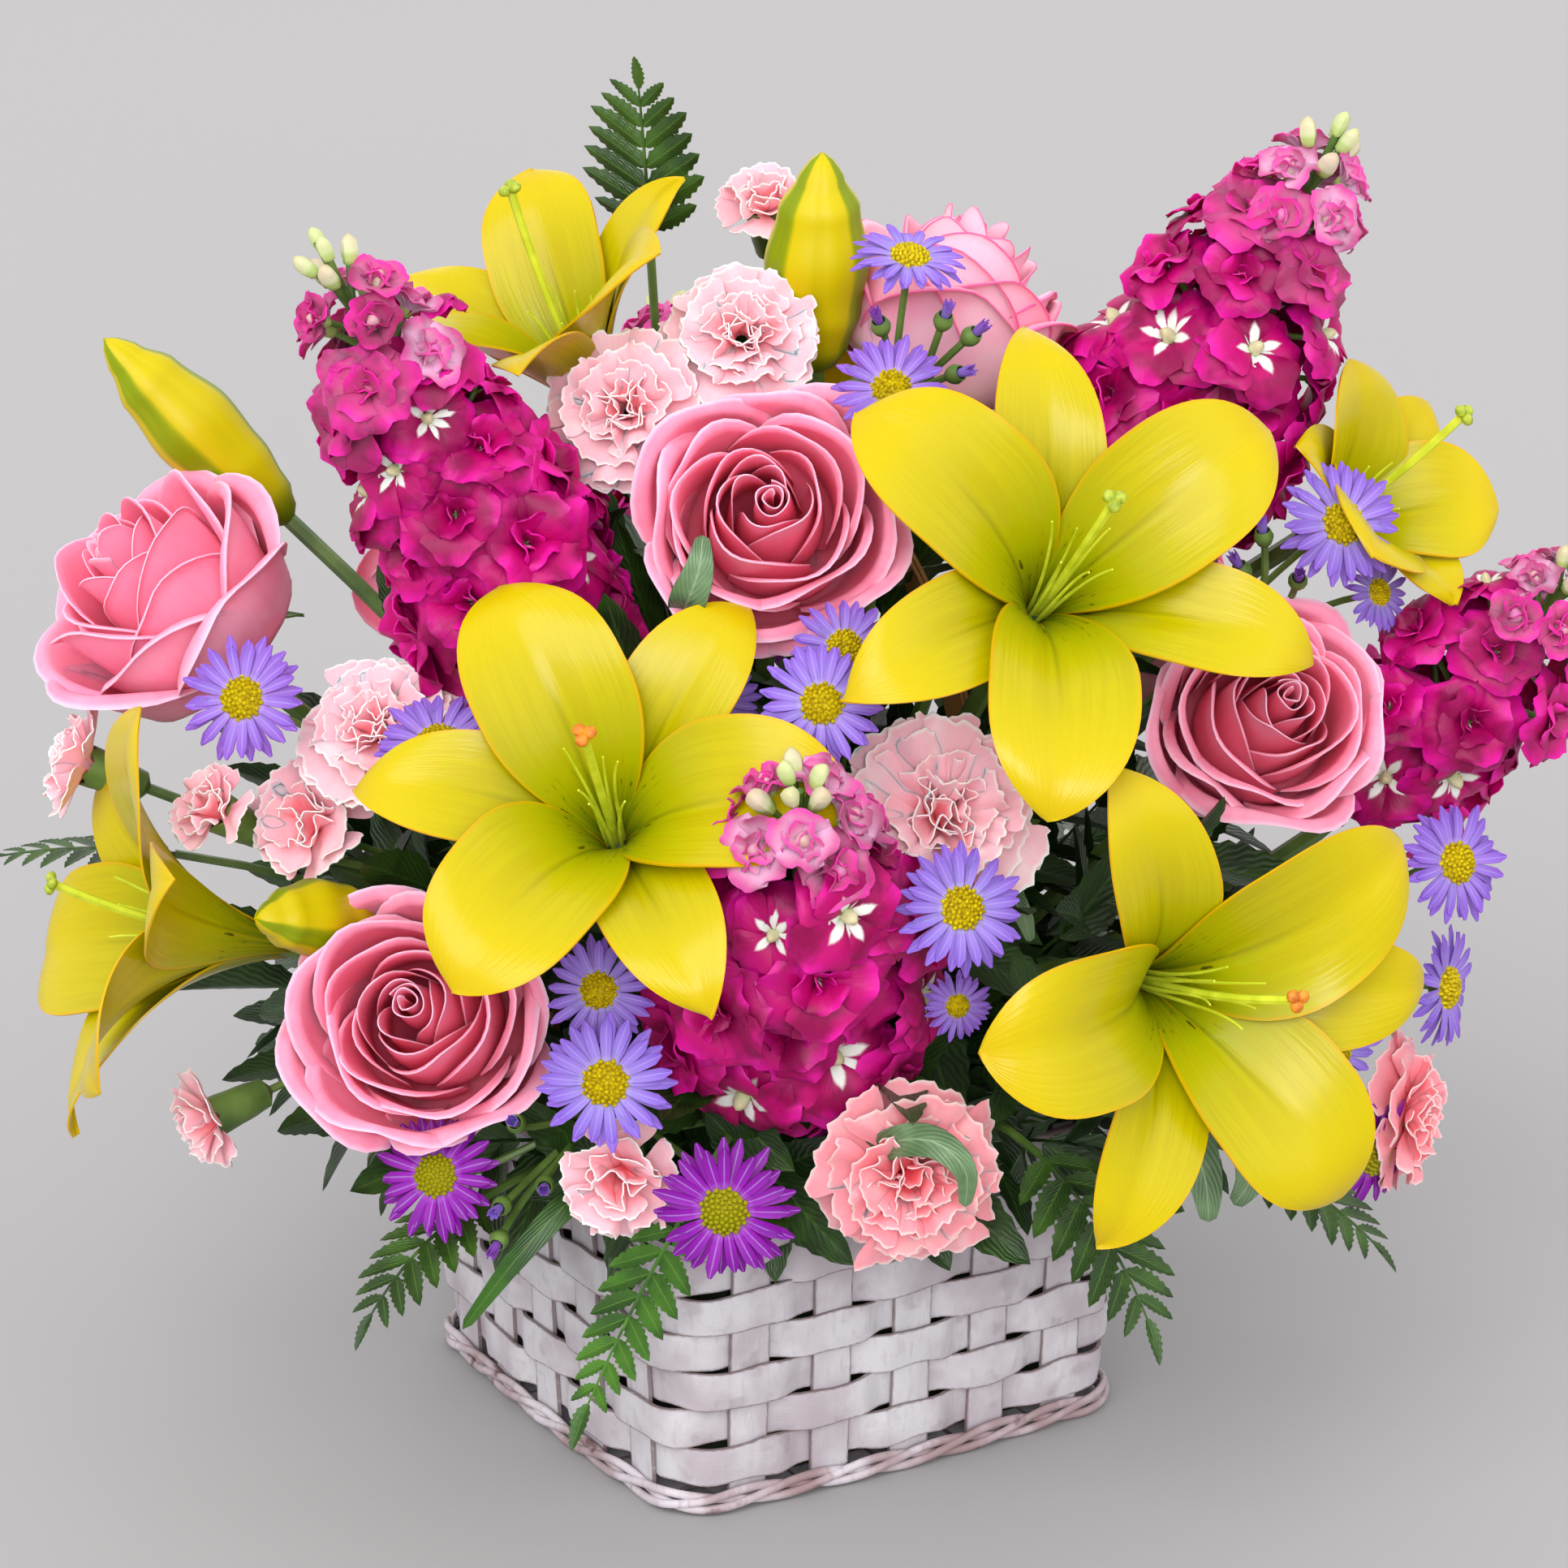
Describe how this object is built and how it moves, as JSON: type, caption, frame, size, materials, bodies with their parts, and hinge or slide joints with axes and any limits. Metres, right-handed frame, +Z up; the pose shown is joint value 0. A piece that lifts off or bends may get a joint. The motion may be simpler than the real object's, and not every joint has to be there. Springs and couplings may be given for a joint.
{
  "type": "flower basket arrangement",
  "caption": "Lilies, roses, carnations, stock, asters and fern fronds set in wet foam inside a lined, whitewashed woven basket with a hoop handle.",
  "frame": {"origin": "on the surface that the basket stands on, under the middle of the basket", "axes": "+Z up; -Y towards the front of the arrangement, the side that the picture shows; +X to the right as seen from the front. The square basket is turned 31 degrees about Z, so that one of its corners points roughly at the front."},
  "size_m": [0.514, 0.385, 0.4401],
  "materials": {
    "whitewashed_chip": "matt whitewash over wood chip",
    "bare_chip": "bare wood chip",
    "liner_plastic": "thin moulded plastic",
    "wet_foam": "open-cell floral foam, soaked",
    "lily_petal": "waxy petal",
    "lily_bud": "waxy bud",
    "rose_petal": "velvety petal",
    "carnation_petal": "thin ruffled petal",
    "stock_petal": "thin crumpled petal",
    "aster_petal": "thin ray petal",
    "leaf": "leathery leaf"
  },
  "bodies": {
    "root": {"floor_and_stakes": "whitewashed_chip", "weaver_1": "whitewashed_chip", "weaver_2": "whitewashed_chip", "weaver_3": "whitewashed_chip", "weaver_4": "whitewashed_chip", "weaver_5": "whitewashed_chip", "weaver_6": "whitewashed_chip", "weaver_7": "whitewashed_chip", "foot_rim": "whitewashed_chip", "rim_hoop": "whitewashed_chip", "handle": "bare_chip", "liner": "liner_plastic", "foam": "wet_foam", "lily_front_left": "lily_petal", "lily_top_left": "lily_petal", "lily_centre": "lily_petal", "lily_front_right": "lily_petal", "lily_left": "lily_petal", "lily_right": "lily_petal", "lily_back": "lily_petal", "lily_bud_left": "lily_bud", "lily_bud_top": "lily_bud", "lily_bud_front": "lily_bud", "lily_bud_green": "lily_bud", "rose_left": "rose_petal", "rose_centre": "rose_petal", "rose_right": "rose_petal", "rose_front_left": "rose_petal", "rose_top": "rose_petal", "rose_back_left": "rose_petal", "rose_back_right": "rose_petal", "stock_left": "stock_petal", "stock_right_tall": "stock_petal", "stock_right": "stock_petal", "stock_front": "stock_petal", "stock_back": "stock_petal", "carnation_spray_top": "carnation_petal", "carnation_spray_right": "carnation_petal", "carnation_spray_left": "carnation_petal", "carnation_spray_far_left": "carnation_petal", "carnation_spray_low_left": "carnation_petal", "carnation_spray_low_front": "carnation_petal", "carnation_spray_low_right": "carnation_petal", "carnation_spray_back": "carnation_petal", "aster_spray_top": "aster_petal", "aster_spray_right": "aster_petal", "aster_spray_centre": "aster_petal", "aster_spray_left": "aster_petal", "aster_spray_front_right": "aster_petal", "aster_spray_front_left": "aster_petal", "aster_spray_low_right": "aster_petal", "aster_spray_back": "aster_petal", "fern_top": "leaf", "fern_hanging": "leaf", "fern_low_left": "leaf", "fern_low_right": "leaf", "fern_right": "leaf", "fern_left": "leaf", "fern_back_left": "leaf", "fern_back_right": "leaf"}
  },
  "joints": []
}
